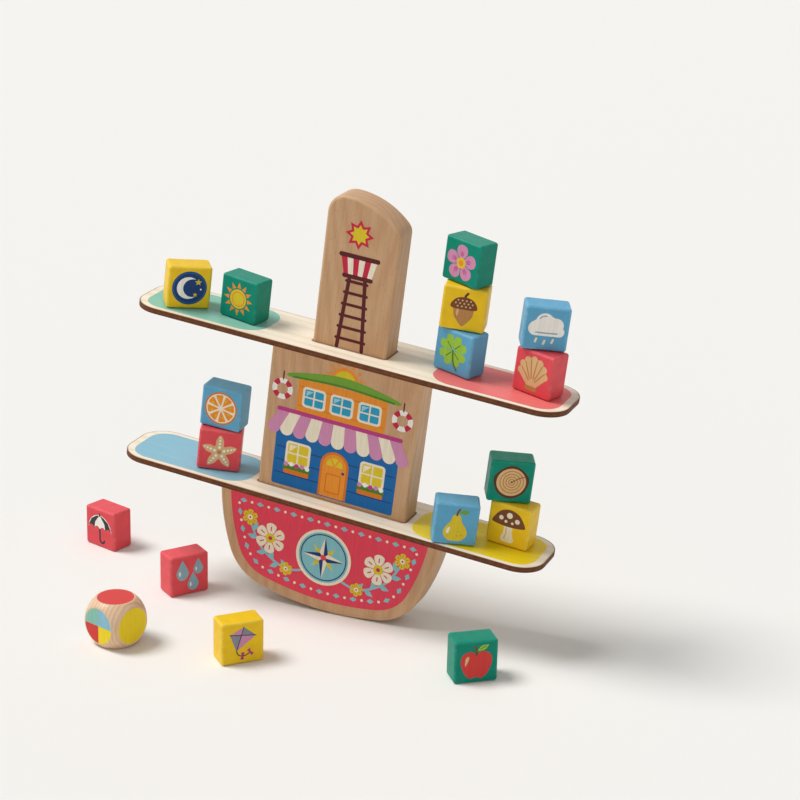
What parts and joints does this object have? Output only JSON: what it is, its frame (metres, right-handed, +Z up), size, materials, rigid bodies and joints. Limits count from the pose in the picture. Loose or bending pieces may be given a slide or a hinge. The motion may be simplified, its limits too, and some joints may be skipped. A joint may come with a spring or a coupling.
{
  "type": "wooden balancing boat toy",
  "caption": "Toy boat to balance: a thick rocking board shaped as hull, cabin and mast holds slotted decks, on which small painted blocks are stacked in the order a colour die gives.",
  "frame": {"origin": "on the floor, at the centre of the flat of the rocker that the leaning boat stands on", "axes": "+Z up; +X to the boat's right seen from the front, along the decks; the printed front faces -Y"},
  "size_m": [0.3189, 0.1458, 0.252],
  "materials": {
    "oiled_beech": "sanded smooth, clear matt oil, printed panels on the front",
    "birch_plywood": "pale birch face with painted end pads, edges browned by the laser cut",
    "yellow_paint": "satin yellow paint on wood",
    "green_paint": "satin sea-green paint on wood",
    "blue_paint": "satin sky-blue paint on wood",
    "red_paint": "satin red paint on wood",
    "turned_maple": "clear-lacquered pale wood with painted discs on its faces"
  },
  "bodies": {
    "board": {"board": "oiled_beech"},
    "lower_deck": {"lower_deck": "birch_plywood"},
    "upper_deck": {"upper_deck": "birch_plywood"},
    "block_yellow_1": {"block_yellow_1": "yellow_paint"},
    "block_yellow_2": {"block_yellow_2": "yellow_paint"},
    "block_yellow_3": {"block_yellow_3": "yellow_paint"},
    "block_yellow_4": {"block_yellow_4": "yellow_paint"},
    "block_green_1": {"block_green_1": "green_paint"},
    "block_green_2": {"block_green_2": "green_paint"},
    "block_green_3": {"block_green_3": "green_paint"},
    "block_green_4": {"block_green_4": "green_paint"},
    "block_blue_1": {"block_blue_1": "blue_paint"},
    "block_blue_2": {"block_blue_2": "blue_paint"},
    "block_blue_3": {"block_blue_3": "blue_paint"},
    "block_blue_4": {"block_blue_4": "blue_paint"},
    "block_red_1": {"block_red_1": "red_paint"},
    "block_red_2": {"block_red_2": "red_paint"},
    "block_red_3": {"block_red_3": "red_paint"},
    "block_red_4": {"block_red_4": "red_paint"},
    "colour_die": {"colour_die": "turned_maple"}
  },
  "joints": [
    {"name": "upper_deck_lift", "type": "slide", "parent": "board", "child": "upper_deck", "axis": [0.1045, 0, 0.9945], "range_m": [0, 0.095]},
    {"name": "lower_deck_lift", "type": "slide", "parent": "board", "child": "lower_deck", "axis": [0.1045, 0, 0.9945], "range_m": [0, 0.03]},
    {"name": "block_yellow_1_lift", "type": "slide", "parent": "upper_deck", "child": "block_yellow_1", "axis": [0.1045, 0, 0.9945], "range_m": [0, 0.06]},
    {"name": "block_green_1_lift", "type": "slide", "parent": "upper_deck", "child": "block_green_1", "axis": [0.1045, 0, 0.9945], "range_m": [0, 0.06]},
    {"name": "block_blue_1_lift", "type": "slide", "parent": "upper_deck", "child": "block_blue_1", "axis": [0.1045, 0, 0.9945], "range_m": [0, 0.06]},
    {"name": "block_yellow_2_lift", "type": "slide", "parent": "block_blue_1", "child": "block_yellow_2", "axis": [0.1045, 0, 0.9945], "range_m": [0, 0.06]},
    {"name": "block_green_2_lift", "type": "slide", "parent": "block_yellow_2", "child": "block_green_2", "axis": [0.1045, 0, 0.9945], "range_m": [0, 0.06]},
    {"name": "block_red_1_lift", "type": "slide", "parent": "upper_deck", "child": "block_red_1", "axis": [0.1045, 0, 0.9945], "range_m": [0, 0.06]},
    {"name": "block_blue_2_lift", "type": "slide", "parent": "block_red_1", "child": "block_blue_2", "axis": [0.1045, 0, 0.9945], "range_m": [0, 0.06]},
    {"name": "block_red_2_draw", "type": "slide", "parent": "lower_deck", "child": "block_red_2", "axis": [0.0217, -0.9781, 0.2068], "range_m": [0, 0.06]},
    {"name": "block_blue_3_draw", "type": "slide", "parent": "block_red_2", "child": "block_blue_3", "axis": [0.0217, -0.9781, 0.2068], "range_m": [0, 0.06]},
    {"name": "block_blue_4_draw", "type": "slide", "parent": "lower_deck", "child": "block_blue_4", "axis": [0.0217, -0.9781, 0.2068], "range_m": [0, 0.06]},
    {"name": "block_yellow_3_draw", "type": "slide", "parent": "lower_deck", "child": "block_yellow_3", "axis": [0.0217, -0.9781, 0.2068], "range_m": [0, 0.06]},
    {"name": "block_green_3_draw", "type": "slide", "parent": "block_yellow_3", "child": "block_green_3", "axis": [0.0217, -0.9781, 0.2068], "range_m": [0, 0.06]},
    {"name": "block_red_3_lift", "type": "slide", "parent": "board", "child": "block_red_3", "axis": [0, 0, 1], "range_m": [0, 0.03]},
    {"name": "block_red_4_lift", "type": "slide", "parent": "board", "child": "block_red_4", "axis": [0, 0, 1], "range_m": [0, 0.03]},
    {"name": "block_yellow_4_lift", "type": "slide", "parent": "board", "child": "block_yellow_4", "axis": [0, 0, 1], "range_m": [0, 0.03]},
    {"name": "block_green_4_lift", "type": "slide", "parent": "board", "child": "block_green_4", "axis": [0, 0, 1], "range_m": [0, 0.03]},
    {"name": "colour_die_lift", "type": "slide", "parent": "board", "child": "colour_die", "axis": [0, 0, 1], "range_m": [0, 0.03]}
  ]
}
